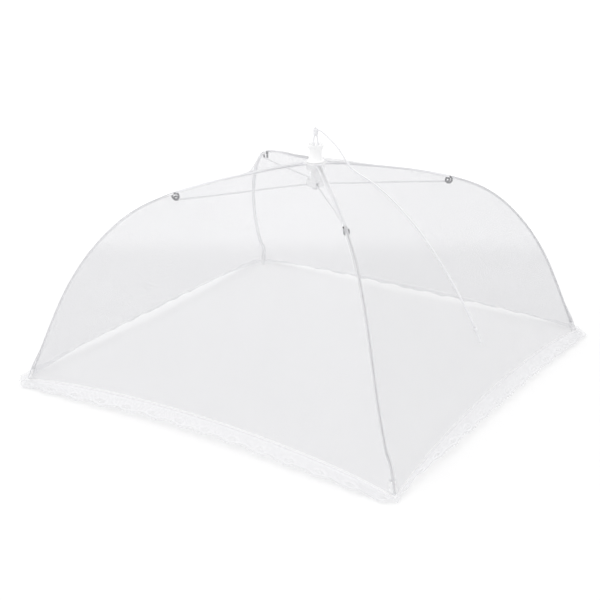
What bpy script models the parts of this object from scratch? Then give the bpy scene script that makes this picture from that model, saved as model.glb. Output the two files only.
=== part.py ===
"""A folding mesh food cover, standing open.

Four wire ribs hang from a white crown and stand on the table at the corners of a square. Four struts
join the ribs to a runner, which is drawn up under the crown by a cord that passes through a flared tube
on the top. A sheer net with a hem binding and a lace trim is sewn along the ribs.

Metres, +Z up. The origin is on the table under the middle of the cover, the base square's sides lie
along X and Y, and the ribs lie on its diagonals.
"""
import math

import bmesh
import bpy
from mathutils import Matrix, Vector

# Driving dimensions of the whole cover
base_side = 0.400  # side of the square on which the rib tips stand
crown_height = 0.1990  # the ribs' pivots above the table
fit_gap = 0.0003  # between pieces that touch or turn in one another

# Wire frame
wire_radius = 0.0009
ring_wire_radius = 0.0005
ring_radius = 0.0072  # from the axis to the ring wires that carry the eyes
eye_radius = 0.0017  # of an eye's centreline
eye_turn = math.radians(235)
eye_points = 11
joint_loop_radius = 0.0030  # of the loop in a rib that holds its strut
joint_loop_points = 18
joint_loop_pitch = 0.00225  # sideways from one side of the loop to the other
joint_loop_run = 0.016  # length in which the rib returns to its plane
rib_tip_height = 0.0032
rib_points_inner = 12
rib_points_outer = 20
strut_level_run = 0.036  # length at its outer end that lies beside the rib
strut_hub_run = 0.020  # length at its inner end that lies in the runner's slot plane
strut_end_run = 0.008  # length at its outer end that doesn't lean
strut_points = 12

# A rib's line from its crown eye to its tip: shares of its reach outward and of the crown's height
rib_line_shares = (
    (0.083, 1.000), (0.192, 0.980), (0.301, 0.9575), (0.392, 0.932), (0.463, 0.907), (0.519, 0.882),
    (0.584, 0.845), (0.649, 0.790), (0.709, 0.719), (0.765, 0.635), (0.816, 0.540), (0.858, 0.443),
    (0.895, 0.340), (0.930, 0.2325), (0.965, 0.119),
)
joint_share = 0.463  # where along its reach the rib holds its strut
rib_tip_lean_share = 1 / 3  # how far the rib's last piece leans inward, of its height

# How far each rib bows sideways out of its diagonal plane, towards the next rib
rib_bows = {"front": -0.0078, "right": 0.0, "back": 0.0230, "left": 0.0}
bow_peak_shares = {"front": 0.68, "right": 0.50, "back": 0.50, "left": 0.50}  # of its length from the crown
bow_inner_powers = {"front": 1.6, "right": 2.2, "back": 2.2, "left": 2.2}
bow_outer_power = 2.4
bow_start_share = 0.015
bow_start_run_share = 0.09  # in which the bow sets in at the crown
bow_end_share = 0.965
bow_end_run_share = 0.06  # in which it dies away at the tip

# Crown, runner and tube
hub_radius = 0.0088
hub_above_pivot = 0.0031
hub_below_pivot = 0.0032
hub_chamfer = 0.0006
cord_bore_radius = 0.0023
neck_radius = 0.0042
neck_length = 0.0094  # between the crown and the drawn-up runner
spigot_radius = 0.0032
spigot_depth = 0.0022
tube_height = 0.0172
tube_lip_radius = 0.0085
tube_waist_radius = 0.0062
tube_foot_radius = 0.0083
tube_foot_height = 0.0016
tube_wall = 0.0012
tube_outline_shares = ((1.0, 1.0), (0.90, 0.86), (0.76, 0.40), (0.60, 0.10), (0.42, 0.0), (0.24, 0.05))
patch_radius = 0.0105
round_step_count = 32
hub_sharp_degrees = 40

# Rib tip caps
cap_radius = 0.0017
cap_length = 0.0100
cap_beyond_tip = 0.0045  # before its foot is cut flat
cap_side_count = 20
cap_bore_side_count = 16
cap_sharp_degrees = 50

# Net
net_thickness = 0.0006
binding_half_width = 0.0017
pocket_start_share = 0.90  # along the net, where the corner pocket starts to swell round the tip cap
pocket_full_share = 0.97
seam_corner_height = 0.0030
net_column_count = 5
net_row_count = 17
knee_rows_share = 0.35  # how much closer together the net's rows lie at the ribs' knees
tip_row_share = 0.950  # where the last row before the hem lies, above the tip caps
facet_allowance = 0.0017  # the net's flat facets may fall this far below its curve
seam_gap = 0.0009  # between the net and the hem binding, which meet at an angle

# A panel's middle line from the crown patch to the hem: shares of half the base side and the crown's height
middle_line_shares = (
    (0.110, 1.011), (0.175, 0.9985), (0.300, 0.957), (0.415, 0.886), (0.500, 0.818), (0.585, 0.733),
    (0.665, 0.639), (0.730, 0.554), (0.790, 0.464), (0.840, 0.381), (0.890, 0.286), (0.935, 0.191),
)
seam_middle_bow = 0.0020  # the hem seam's middle lies this far inside the base square
seam_middle_height = 0.0162

# Hem binding and lace
hem_width = 0.0042
trim_width = 0.0168  # from the hem's seam to the lace's outer edge
trim_rib_height = 0.0010  # of the lace's outer edge at the ribs
trim_middle_height = 0.0045  # of the lace's outer edge at the panels' middles
trim_droop_power = 1.35
trim_corner_cut = 0.0100  # how much less the lace reaches out at the ribs, where it goes round the corner
trim_corner_share = 0.10  # of a half panel, in which it gets its full width
lace_wave_count = 7  # ruffles along each half panel
lace_ruffle = 0.0022
lace_scallop = 0.0020
lace_gap = 0.0010  # between the hem binding and the rippled lace
lace_start_share = 0.3  # of the trim's own width, from where it ripples
lace_column_count = 21
lace_row_count = 2
hem_column_count = 10
hem_row_count = 1
binding_column_count = 2
sheet_sharp_degrees = 60

# Pull cord
cord_radius = 0.0008
strand_spacing = 0.0010  # from the axis in the bores
strand_spread = 0.0023  # from the axis at the tube's mouth
strand_rise = 0.0020  # from the tube's mouth to where the strands lie furthest apart
knot_rise = 0.0120  # from the tube's mouth to the top knot's middle
top_knot_radius = 0.0021
top_knot_tallness = 0.0038
end_knot_radius = 0.0021
runner_knot_radius = 0.0031
runner_knot_tallness = 0.0020
tail_step = 0.0042
strand_points = 14
loose_end_points = 4
knot_side_count = 12
knot_ring_count = 8

# Points with which smooth lines are worked out before they are shared evenly
span_points = 16
line_points = 160

# The cord's own line from the top knot, over the +X panel's net, to the end knot: outward, sideways, height
tail_route = (
    (0.0024, 0.0000, 0.2338), (0.0052, 0.0000, 0.2340), (0.0088, 0.0001, 0.2318), (0.0132, 0.0002, 0.2288),
    (0.0176, 0.0003, 0.2255), (0.0218, 0.0003, 0.2222), (0.0256, 0.0002, 0.2186), (0.0292, 0.0000, 0.2145),
    (0.0330, -0.0003, 0.2099), (0.0374, -0.0005, 0.2052), (0.0430, -0.0006, 0.2010),
    (0.0520, -0.0004, 0.1968),
    (0.0620, 0.0000, 0.1924), (0.0740, 0.0004, 0.1853), (0.0856, 0.0006, 0.1770), (0.1020, 0.0004, 0.1638),
    (0.1190, 0.0000, 0.1475), (0.1350, -0.0004, 0.1290), (0.1484, -0.0005, 0.1115), (0.1600, -0.0003, 0.0938),
    (0.1702, 0.0000, 0.0774), (0.1733, 0.0000, 0.0717),
)
loose_end_route = (
    (0.1754, 0.0000, 0.0674), (0.1769, 0.0002, 0.0640), (0.1784, 0.0004, 0.0606), (0.1798, 0.0004, 0.0570),
)

RIBS = {"front": -45, "right": 45, "back": 135, "left": -135}  # each rib's direction in plan, in degrees
NEXT = {"front": "right", "right": "back", "back": "left", "left": "front"}
LAST = {after: before for before, after in NEXT.items()}

# Sizes worked out from those above
half_side = base_side / 2
tip_reach = base_side / math.sqrt(2)
hub_slot_width = 2 * (wire_radius + fit_gap)
slot_inner_radius = ring_radius - eye_radius - wire_radius - fit_gap
crown_hub_top = crown_height + hub_above_pivot
crown_hub_foot = crown_height - hub_below_pivot
neck_top = crown_hub_foot - fit_gap
runner_height = neck_top - neck_length - hub_above_pivot  # the struts' pivots above the table
runner_top = runner_height + hub_above_pivot
runner_foot = runner_height - hub_below_pivot
patch_foot = crown_hub_top + fit_gap
patch_top = patch_foot + net_thickness
tube_foot = patch_top + fit_gap
tube_mouth = tube_foot + tube_height
top_knot_height = tube_mouth + knot_rise
net_start = patch_radius + 2 * fit_gap
joint_side_step = joint_loop_pitch / 2
strut_side_step = joint_side_step + 2 * wire_radius + fit_gap
net_over_rib = wire_radius + fit_gap + net_thickness / 2 + facet_allowance
cap_clear = (cap_radius + fit_gap + net_thickness / 2) * math.sqrt(2)


def clear_scene():
    """Starts from an empty scene."""
    for obj in list(bpy.data.objects):
        bpy.data.objects.remove(obj, do_unlink=True)
    for collection in list(bpy.data.collections):
        bpy.data.collections.remove(collection)


def new_collection(name):
    collection = bpy.data.collections.new(name)
    bpy.context.scene.collection.children.link(collection)
    return collection


def make_material(name, colour, roughness, metallic=0.0):
    mat = bpy.data.materials.new(name)
    mat.use_nodes = True
    shader = mat.node_tree.nodes["Principled BSDF"]
    shader.inputs["Base Color"].default_value = (*colour, 1.0)
    shader.inputs["Roughness"].default_value = roughness
    shader.inputs["Metallic"].default_value = metallic
    return mat


def add_object(name, data, mat, parent=None, collection=None):
    """Puts a mesh or curve in the scene as one named piece."""
    obj = bpy.data.objects.new(name, data)
    (collection or parts).objects.link(obj)
    if mat is not None and not data.materials:
        data.materials.append(mat)
    obj.parent = parent
    return obj


def add_pivot(name, place, turn=0.0):
    """An empty on a joint's axis, turned about Z, for the pieces that move with it."""
    pivot = bpy.data.objects.new(name, None)
    parts.objects.link(pivot)
    pivot.location = place
    pivot.rotation_euler = (0.0, 0.0, turn)
    return pivot


def smooth_line(points, count):
    """count points, evenly spaced, on a smooth curve through the given ones."""
    given = [Vector(p) for p in points]
    ends = [2 * given[0] - given[1], *given, 2 * given[-1] - given[-2]]
    fine = []
    for a, b, c, d in zip(ends, ends[1:], ends[2:], ends[3:]):
        for i in range(span_points):
            t = i / span_points
            fine.append(0.5 * (2 * b + (c - a) * t + (2 * a - 5 * b + 4 * c - d) * t**2
                               + (3 * b - 3 * c + d - a) * t**3))
    fine.append(given[-1])
    return even_points(fine, count)


def even_points(line, count):
    """count points at equal lengths along a line of many points."""
    lengths = [0.0]
    for a, b in zip(line, line[1:]):
        lengths.append(lengths[-1] + (b - a).length)
    found = []
    k = 0
    for i in range(count):
        want = lengths[-1] * i / (count - 1)
        while k < len(line) - 2 and lengths[k + 1] < want:
            k += 1
        share = (want - lengths[k]) / (lengths[k + 1] - lengths[k])
        found.append(line[k].lerp(line[k + 1], min(max(share, 0.0), 1.0)))
    return found


def line_length(line):
    return sum((b - a).length for a, b in zip(line, line[1:]))


def wire_curve(name, points, radius, cyclic=False):
    """A round wire or cord along a line, as curve data."""
    curve = bpy.data.curves.new(name, "CURVE")
    curve.dimensions = "3D"
    curve.bevel_depth = radius
    curve.bevel_resolution = 2
    curve.use_fill_caps = not cyclic
    spline = curve.splines.new("POLY")
    spline.points.add(len(points) - 1)
    for place, point in zip(spline.points, points):
        place.co = (*point, 1.0)
    spline.use_cyclic_u = cyclic
    return curve


def turned_mesh(name, profile, steps=round_step_count):
    """A solid turned about Z from a closed outline of (radius, height) points, down its outer side first."""
    mesh = bpy.data.meshes.new(name)
    work = bmesh.new()
    corners = [work.verts.new((radius, 0.0, height)) for radius, height in profile]
    for a, b in zip(corners, corners[1:] + corners[:1]):
        work.edges.new((a, b))
    work.to_mesh(mesh)
    work.free()
    shape = add_object(name + "_shape", mesh, None, collection=guides)
    screw = shape.modifiers.new("turn", "SCREW")
    screw.steps = steps
    screw.render_steps = steps
    screw.use_merge_vertices = True
    screw.merge_threshold = fit_gap / 100
    return baked_mesh(shape, name)


def baked_mesh(shape, name):
    """The finished mesh of a shape with its modifiers, taken out of the scene."""
    bpy.context.view_layer.update()
    seen = shape.evaluated_get(bpy.context.evaluated_depsgraph_get())
    mesh = bpy.data.meshes.new_from_object(seen)
    mesh.name = name
    bpy.data.objects.remove(shape, do_unlink=True)
    return mesh


def round_shaded(mesh, sharp_degrees=hub_sharp_degrees):
    mesh.shade_smooth()
    mesh.set_sharp_from_angle(angle=math.radians(sharp_degrees))
    return mesh


def cut_mesh(name, mesh, cutters):
    """The mesh with every cutter taken away."""
    shape = add_object(name + "_blank", mesh, None, collection=guides)
    for number, cutter in enumerate(cutters):
        cutter.display_type = "WIRE"
        cutter.hide_render = True
        cut = shape.modifiers.new(f"cut_{number}", "BOOLEAN")
        cut.operation = "DIFFERENCE"
        cut.solver = "EXACT"
        cut.object = cutter
    done = baked_mesh(shape, name)
    for cutter in cutters:
        bpy.data.objects.remove(cutter, do_unlink=True)
    return done


def box_cutter(name, low, high, turn=0.0):
    """A block between two corners, turned about Z."""
    mesh = bpy.data.meshes.new(name)
    work = bmesh.new()
    bmesh.ops.create_cube(work, size=1.0)
    size = Vector(high) - Vector(low)
    middle = (Vector(high) + Vector(low)) / 2
    bmesh.ops.scale(work, vec=size, verts=work.verts)
    bmesh.ops.translate(work, vec=middle, verts=work.verts)
    work.to_mesh(mesh)
    work.free()
    cutter = add_object(name, mesh, None, collection=guides)
    cutter.rotation_euler = (0.0, 0.0, turn)
    return cutter


def sheet_mesh(name, columns, rows, place, thickness):
    """A thin closed sheet: a flat grid whose points are moved by place(across, along), both from 0 to 1."""
    mesh = bpy.data.meshes.new(name)
    work = bmesh.new()
    bmesh.ops.create_grid(work, x_segments=columns, y_segments=rows, size=0.5)
    for vert in work.verts:
        vert.co = place(vert.co.x + 0.5, vert.co.y + 0.5)
    work.to_mesh(mesh)
    work.free()
    shape = add_object(name + "_shape", mesh, None, collection=guides)
    solid = shape.modifiers.new("thickness", "SOLIDIFY")
    solid.thickness = thickness
    solid.offset = 0.0
    return round_shaded(baked_mesh(shape, name), sheet_sharp_degrees)


def knot_mesh(name, radius, tallness):
    """A pulled-tight knot: a small ball, taller or flatter than round."""
    mesh = bpy.data.meshes.new(name)
    work = bmesh.new()
    bmesh.ops.create_uvsphere(work, u_segments=knot_side_count, v_segments=knot_ring_count, radius=radius)
    bmesh.ops.scale(work, vec=(1.0, 1.0, tallness / radius), verts=work.verts)
    work.to_mesh(mesh)
    work.free()
    mesh.shade_smooth()
    return mesh


# A rib's own plane: points are (outward from the axis, height above the table)


def arc(centre, radius, start, end, count):
    """Points on an arc in a rib's plane, from one angle to another, measured from outward towards up."""
    found = []
    for i in range(count):
        angle = start + (end - start) * i / (count - 1)
        found.append(Vector((centre[0] + radius * math.cos(angle), centre[1] + radius * math.sin(angle))))
    return found


def rib_line():
    """The rib's centreline from the top of its crown eye to its tip, without the joint's loop."""
    reach = tip_reach - ring_radius
    eye_top = (ring_radius, crown_height + eye_radius)
    middle = [(ring_radius + out * reach, up * crown_height) for out, up in rib_line_shares]
    tip = (tip_reach - rib_tip_height * rib_tip_lean_share, rib_tip_height)
    return smooth_line([eye_top, *middle, tip], line_points)


RIB_LINE = rib_line()
JOINT_INDEX = min(range(len(RIB_LINE)),
                  key=lambda i: abs(RIB_LINE[i].x - ring_radius - joint_share * (tip_reach - ring_radius)))
JOINT_LENGTH_SHARE = JOINT_INDEX / (len(RIB_LINE) - 1)


def joint_loop_centre():
    """The middle of the loop under the rib that holds the strut."""
    along = (RIB_LINE[JOINT_INDEX + 1] - RIB_LINE[JOINT_INDEX - 1]).normalized()
    inward = Vector((along.y, -along.x))
    return RIB_LINE[JOINT_INDEX] + inward * joint_loop_radius


def strut_joint():
    """Where the strut's outer eye sits: low in the rib's loop."""
    seat = joint_loop_radius - 2 * wire_radius - fit_gap
    return joint_loop_centre() - Vector((0.0, seat))


def to_pivot(point, sideways, pivot_height):
    """A point of the rib's plane, and its distance beside it, in the frame of a pivot on the ring wire."""
    return Vector((point.x - ring_radius, sideways, point.y - pivot_height))


def eased(share):
    share = min(max(share, 0.0), 1.0)
    return share * share * (3 - 2 * share)


def bow_at(rib, share):
    """How far a rib lies beside its diagonal plane at a share of its length from the crown."""
    peak = bow_peak_shares[rib]
    if share < peak:
        bow = 1 - (1 - share / peak) ** bow_inner_powers[rib]
    else:
        bow = 1 - ((share - peak) / (bow_end_share - peak)) ** bow_outer_power
    start = eased((share - bow_start_share) / bow_start_run_share)
    end = eased((bow_end_share - share) / bow_end_run_share)
    return rib_bows[rib] * bow * start * end


def rib_wire_points(rib):
    """The whole rib: crown eye, inner part, joint loop and outer part, in its pivot's frame."""
    points = []
    pivot = (ring_radius, crown_height)
    for p in arc(pivot, eye_radius, math.pi / 2 + eye_turn, math.pi / 2, eye_points)[:-1]:
        points.append(to_pivot(p, 0.0, crown_height))
    inner = even_points(RIB_LINE[: JOINT_INDEX + 1], rib_points_inner)
    outer = even_points(RIB_LINE[JOINT_INDEX:], rib_points_outer)
    inner_length = line_length(inner)
    for i, p in enumerate(inner[:-1]):
        gone_share = i / (rib_points_inner - 1)
        side = -joint_side_step * eased(1 - inner_length * (1 - gone_share) / joint_loop_run)
        points.append(to_pivot(p, side + bow_at(rib, gone_share * JOINT_LENGTH_SHARE), crown_height))
    centre = joint_loop_centre()
    first = RIB_LINE[JOINT_INDEX] - centre
    start = math.atan2(first.y, first.x)
    for i, p in enumerate(arc(centre, joint_loop_radius, start, start - 2 * math.pi, joint_loop_points)):
        side = joint_side_step * (2 * i / (joint_loop_points - 1) - 1)
        points.append(to_pivot(p, side + bow_at(rib, JOINT_LENGTH_SHARE), crown_height))
    outer_length = line_length(outer)
    for i, p in enumerate(outer[1:], start=1):
        gone_share = i / (rib_points_outer - 1)
        side = joint_side_step * eased(1 - outer_length * gone_share / joint_loop_run)
        bow = bow_at(rib, JOINT_LENGTH_SHARE + (1 - JOINT_LENGTH_SHARE) * gone_share)
        points.append(to_pivot(p, side + bow, crown_height))
    return points


def strut_wire_points(rib):
    """The whole strut: runner eye, straight run that moves beside the rib, and outer eye."""
    pivot = Vector((ring_radius, runner_height))
    joint = strut_joint()
    along = (joint - pivot).normalized()
    slope = math.atan2(along.y, along.x)
    under = slope - math.pi / 2
    drop = Vector((math.cos(under), math.sin(under))) * eye_radius
    points = [to_pivot(p, 0.0, runner_height)
              for p in arc(pivot, eye_radius, under - eye_turn, under, eye_points)[:-1]]
    length = (joint - pivot).length
    joint_bow = bow_at(rib, JOINT_LENGTH_SHARE)
    for i in range(strut_points + 1):
        gone = length * i / strut_points
        share = (gone - strut_hub_run) / (length - strut_hub_run - strut_level_run)
        side = strut_side_step * eased(share)
        leaning = (gone - strut_hub_run) / (length - strut_hub_run - strut_end_run)
        bow = joint_bow * min(max(leaning, 0.0), 1.0)
        points.append(to_pivot(pivot + along * gone + drop, side + bow, runner_height))
    for p in arc(joint, eye_radius, under, under + eye_turn, eye_points)[1:]:
        points.append(to_pivot(p, strut_side_step + joint_bow, runner_height))
    return points


# The net, in the rib's frame: points are (outward, sideways, height), and side is +1 or -1


def middle_line():
    """The panel's middle from the crown patch to the hem seam, as (outward across the panel, height)."""
    start = (net_start, patch_foot + net_thickness / 2)
    points = [(out * half_side, up * crown_height) for out, up in middle_line_shares]
    end = (half_side - seam_middle_bow, seam_middle_height)
    return smooth_line([start, *points, end], line_points)


def net_edge_line():
    """The net's line over the rib: the rib's line moved outward, with a pocket for the tip cap."""
    moved = []
    for i, p in enumerate(RIB_LINE):
        a = RIB_LINE[max(i - 1, 0)]
        b = RIB_LINE[min(i + 1, len(RIB_LINE) - 1)]
        along = (b - a).normalized()
        share = i / (len(RIB_LINE) - 1)
        swell = eased((share - pocket_start_share) / (pocket_full_share - pocket_start_share))
        over = net_over_rib + max(cap_clear - net_over_rib, 0.0) * swell
        moved.append(p + Vector((-along.y, along.x)) * over)
    inside = [p for p in moved if p.x > net_start and p.y > seam_corner_height]
    along = inside[-1] - inside[-2]
    seam = inside[-1] + along * ((seam_corner_height - inside[-1].y) / along.y)
    return even_points([Vector((net_start, patch_foot + net_thickness / 2)), *inside, seam], line_points)


def nearest_length_share(point):
    """Where along the rib, as a share of its length, it lies nearest to a point."""
    last = len(RIB_LINE) - 1
    k = min(range(1, last), key=lambda i: (RIB_LINE[i] - point).length)
    step = (RIB_LINE[k + 1] - RIB_LINE[k - 1]) / 2
    return (k + (point - RIB_LINE[k]).dot(step) / step.length_squared) / last


MIDDLE_LINE = middle_line()
NET_EDGE_LINE = net_edge_line()


def at_share(line, share):
    """The point at a share of an evenly spaced line."""
    place = min(max(share, 0.0), 1.0) * (len(line) - 1)
    k = min(int(place), len(line) - 2)
    return line[k].lerp(line[k + 1], place - k)


def panel_to_rib(out, lateral, height, side):
    """A panel's own point, outward and lateral from its middle towards the rib, in the rib's frame."""
    half_turn = math.sqrt(0.5)
    return Vector(((out + lateral) * half_turn, side * (out - lateral) * half_turn, height))


def net_point(along, across, side):
    """The net at a share from crown to hem and a share from the rib to the panel's middle."""
    edge = at_share(NET_EDGE_LINE, along)
    middle = at_share(MIDDLE_LINE, along)
    edge_out = edge.x * math.sqrt(0.5)
    fall = (1 - across) ** 2
    out = middle.x + (edge_out - middle.x) * fall
    height = middle.y + (edge.y - middle.y) * fall
    return panel_to_rib(out, edge_out * (1 - across), height, side)


def bowed(point, rib, along, across):
    """A point of the net, moved with its rib's sideways bow and less the further it is from the rib."""
    bow = bow_at(rib, nearest_length_share(at_share(NET_EDGE_LINE, along)))
    return point + Vector((0.0, bow * (1 - across), 0.0))


def row_share(share):
    """The rows' own places along the net, closer together at the knee, with one more above the tip caps."""
    if round(share * net_row_count) == net_row_count - 1:
        return tip_row_share
    even = min(share * net_row_count / (net_row_count - 1), 1.0)
    return even + knee_rows_share * math.sin(2 * math.pi * even) / (2 * math.pi)


def beside_rib(along, distance):
    """The share across the panel at a distance beside the rib's plane."""
    return distance * 2 / at_share(NET_EDGE_LINE, along).x


def beside_middle(along, distance):
    """The share across the panel at a distance from the panel's middle."""
    return 1 - distance * math.sqrt(2) / at_share(NET_EDGE_LINE, along).x


def trim_point(down, across, side):
    """The trim at a share from the seam to the outer edge and a share from the rib to the middle."""
    seam = net_point(1.0, across, 1)
    seam_out = (seam.x + seam.y) * math.sqrt(0.5)
    seam_lateral = (seam.x - seam.y) * math.sqrt(0.5)
    wave = (1 - math.cos(2 * math.pi * lace_wave_count * across)) / 2
    rippled = max(down - lace_start_share, 0.0) / (1 - lace_start_share)
    edge_height = trim_middle_height + (trim_rib_height - trim_middle_height) * (1 - across) ** 2
    reach = seam_out + math.sqrt(trim_width**2 - (seam.z - edge_height) ** 2)
    reach -= trim_corner_cut * (1 - eased(across / trim_corner_share))
    out = seam_out + (reach - seam_out) * down - lace_scallop * rippled * wave
    lateral = seam_lateral + (reach * (1 - across) - seam_lateral) * down
    fall = (1 - down) ** trim_droop_power
    height = edge_height + (seam.z - edge_height) * fall + lace_ruffle * rippled * wave
    return panel_to_rib(out, lateral, height, side)


def trim_share(across, distance):
    """The share down the trim at a distance from the seam."""
    return distance / (trim_point(1.0, across, 1) - trim_point(0.0, across, 1)).length


def in_pivot_frame(point):
    return point - Vector((ring_radius, 0.0, crown_height))


def half_net(rib, side):
    def place(across, row):
        along = row_share(row)
        low = beside_rib(along, binding_half_width + fit_gap)
        high = beside_middle(along, fit_gap / 2)
        share = low + (high - low) * across
        return in_pivot_frame(bowed(net_point(along, share, side), rib, along, share))
    return place


def half_hem(rib, side):
    def place(across, down):
        low = beside_rib(1.0, fit_gap)
        high = beside_middle(1.0, fit_gap / 2)
        share = low + (high - low) * across
        start = trim_share(share, seam_gap)
        end = trim_share(share, hem_width)
        return in_pivot_frame(trim_point(start + (end - start) * down, share, side))
    return place


def half_lace(rib, side):
    def place(across, down):
        low = beside_rib(1.0, fit_gap)
        high = beside_middle(1.0, fit_gap / 2)
        share = low + (high - low) * across
        start = trim_share(share, hem_width + lace_gap)
        return in_pivot_frame(trim_point(start + (1 - start) * down, share, side))
    return place


def binding(rib):
    """The tape over the rib: it folds down on both sides with the net."""
    def place(across, row):
        along = row_share(row)
        sideways = (2 * across - 1) * binding_half_width
        side = 1 if sideways >= 0 else -1
        share = beside_rib(along, abs(sideways))
        return in_pivot_frame(bowed(net_point(along, share, side), rib, along, share))
    return place


# Crown, runner and tube


def slotted_hub(name, foot, top, pivot, neck=None):
    """A round hub with slots for the wire eyes, a groove for their ring wire, a bore, and perhaps a neck."""
    outline = []
    if neck is not None:
        outline += [(neck_radius, neck), (neck_radius, top)]
    outline += [(hub_radius - hub_chamfer, top), (hub_radius, top - hub_chamfer),
                (hub_radius, foot + hub_chamfer), (hub_radius - hub_chamfer, foot), (cord_bore_radius, foot)]
    if neck is not None:
        outline += [(cord_bore_radius, neck)]
    else:
        socket = spigot_radius + fit_gap
        outline += [(cord_bore_radius, top - spigot_depth - fit_gap), (socket, top - spigot_depth - fit_gap),
                    (socket, top)]
    blank = turned_mesh(name + "_body", outline)
    cutters = []
    overrun = hub_radius
    for rib, turn in RIBS.items():
        low = (slot_inner_radius, -hub_slot_width / 2, foot - overrun)
        high = (hub_radius + overrun, hub_slot_width / 2, top + overrun)
        cutters.append(box_cutter(f"{name}_slot_{rib}", low, high, math.radians(turn)))
    channel = ring_wire_radius + fit_gap
    groove = turned_mesh(name + "_groove", [
        (ring_radius + channel, pivot + channel), (ring_radius + channel, foot - overrun),
        (ring_radius - channel, foot - overrun), (ring_radius - channel, pivot + channel)])
    cutters.append(add_object(name + "_groove", groove, None, collection=guides))
    return round_shaded(cut_mesh(name, blank, cutters))


def tube_outline():
    """The flared tube: outer side downward from its lip, foot, spigot, then up through the bore."""
    flare = tube_lip_radius - tube_waist_radius
    outer = [(tube_waist_radius + flare * out, tube_foot + tube_height * up)
             for up, out in tube_outline_shares]
    shoulder = tube_foot + tube_foot_height
    outer += [(tube_waist_radius + tube_wall / 2, shoulder + tube_wall / 2),
              (tube_foot_radius - hub_chamfer, shoulder), (tube_foot_radius, shoulder - hub_chamfer),
              (tube_foot_radius, tube_foot + hub_chamfer / 2),
              (tube_foot_radius - hub_chamfer, tube_foot)]
    spigot_foot = crown_hub_top - spigot_depth
    spigot = [(spigot_radius, tube_foot), (spigot_radius, spigot_foot), (cord_bore_radius, spigot_foot)]
    floor = tube_foot + tube_foot_height
    inner = [(cord_bore_radius, floor), (tube_waist_radius - tube_wall, floor + tube_wall)]
    inner += [(tube_waist_radius - tube_wall, tube_foot + tube_height / 2),
              (tube_lip_radius - tube_wall, tube_mouth)]
    return outer + spigot + inner


def patch_outline():
    hole = spigot_radius + fit_gap
    return [(patch_radius, patch_top), (patch_radius, patch_foot), (hole, patch_foot), (hole, patch_top)]


def ring_wire(name, mat, parent, height):
    """A closed wire ring, level, round the axis."""
    points = []
    for i in range(round_step_count):
        angle = 2 * math.pi * i / round_step_count
        points.append((ring_radius * math.cos(angle), ring_radius * math.sin(angle), height))
    return add_object(name, wire_curve(name, points, ring_wire_radius, cyclic=True), mat, parent)


def tip_cap_mesh():
    """A round cap over the rib's end, cut flat where it stands on the table, in the rib pivot's frame."""
    tip = RIB_LINE[-1]
    along = (RIB_LINE[-1] - RIB_LINE[-6]).normalized()
    tilt = math.atan2(along.x, -along.y)
    mesh = bpy.data.meshes.new("tip_cap_blank")
    work = bmesh.new()
    bmesh.ops.create_cone(work, cap_ends=True, segments=cap_side_count, radius1=cap_radius,
                          radius2=cap_radius, depth=cap_length)
    bmesh.ops.translate(work, vec=(0.0, 0.0, cap_length / 2 - cap_beyond_tip), verts=work.verts)
    work.to_mesh(mesh)
    work.free()
    bore = bpy.data.meshes.new("tip_cap_bore")
    work = bmesh.new()
    bore_radius = wire_radius + fit_gap
    bmesh.ops.create_cone(work, cap_ends=True, segments=cap_bore_side_count, radius1=bore_radius,
                          radius2=bore_radius, depth=cap_length)
    bmesh.ops.translate(work, vec=(0.0, 0.0, cap_length / 2 - fit_gap), verts=work.verts)
    work.to_mesh(bore)
    work.free()
    to_tip = Matrix.Translation(to_pivot(tip, 0.0, crown_height)) @ Matrix.Rotation(-tilt, 4, "Y")
    mesh.transform(to_tip)
    bore.transform(to_tip)
    bore_cutter = add_object("tip_cap_bore", bore, None, collection=guides)
    far = to_pivot(tip, 0.0, crown_height)
    reach = cap_length
    foot_cutter = box_cutter("tip_cap_foot", (far.x - reach, -reach, -crown_height - 2 * reach),
                             (far.x + reach, reach, -crown_height))
    return round_shaded(cut_mesh("tip_cap", mesh, [bore_cutter, foot_cutter]), cap_sharp_degrees)


def build_crown():
    hub = slotted_hub("crown_hub", crown_hub_foot, crown_hub_top, crown_height)
    add_object("crown_hub", hub, white_plastic)
    ring_wire("crown_ring_wire", steel, None, crown_height)
    add_object("top_tube", round_shaded(turned_mesh("top_tube", tube_outline())), white_plastic)
    add_object("crown_patch", round_shaded(turned_mesh("crown_patch", patch_outline())), tape)


def build_runner():
    pivot = add_pivot("runner_pivot", (0.0, 0.0, runner_height))
    hub = slotted_hub("runner", runner_foot, runner_top, runner_height, neck_top)
    hub.transform(Matrix.Translation((0.0, 0.0, -runner_height)))
    add_object("runner", hub, white_plastic, pivot)
    ring_wire("runner_ring_wire", steel, pivot, 0.0)
    ball = knot_mesh("runner_knot", runner_knot_radius, runner_knot_tallness)
    knot = add_object("runner_knot", ball, cord, pivot)
    knot.location = (0.0, 0.0, runner_foot - fit_gap - runner_knot_tallness - runner_height)


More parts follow.
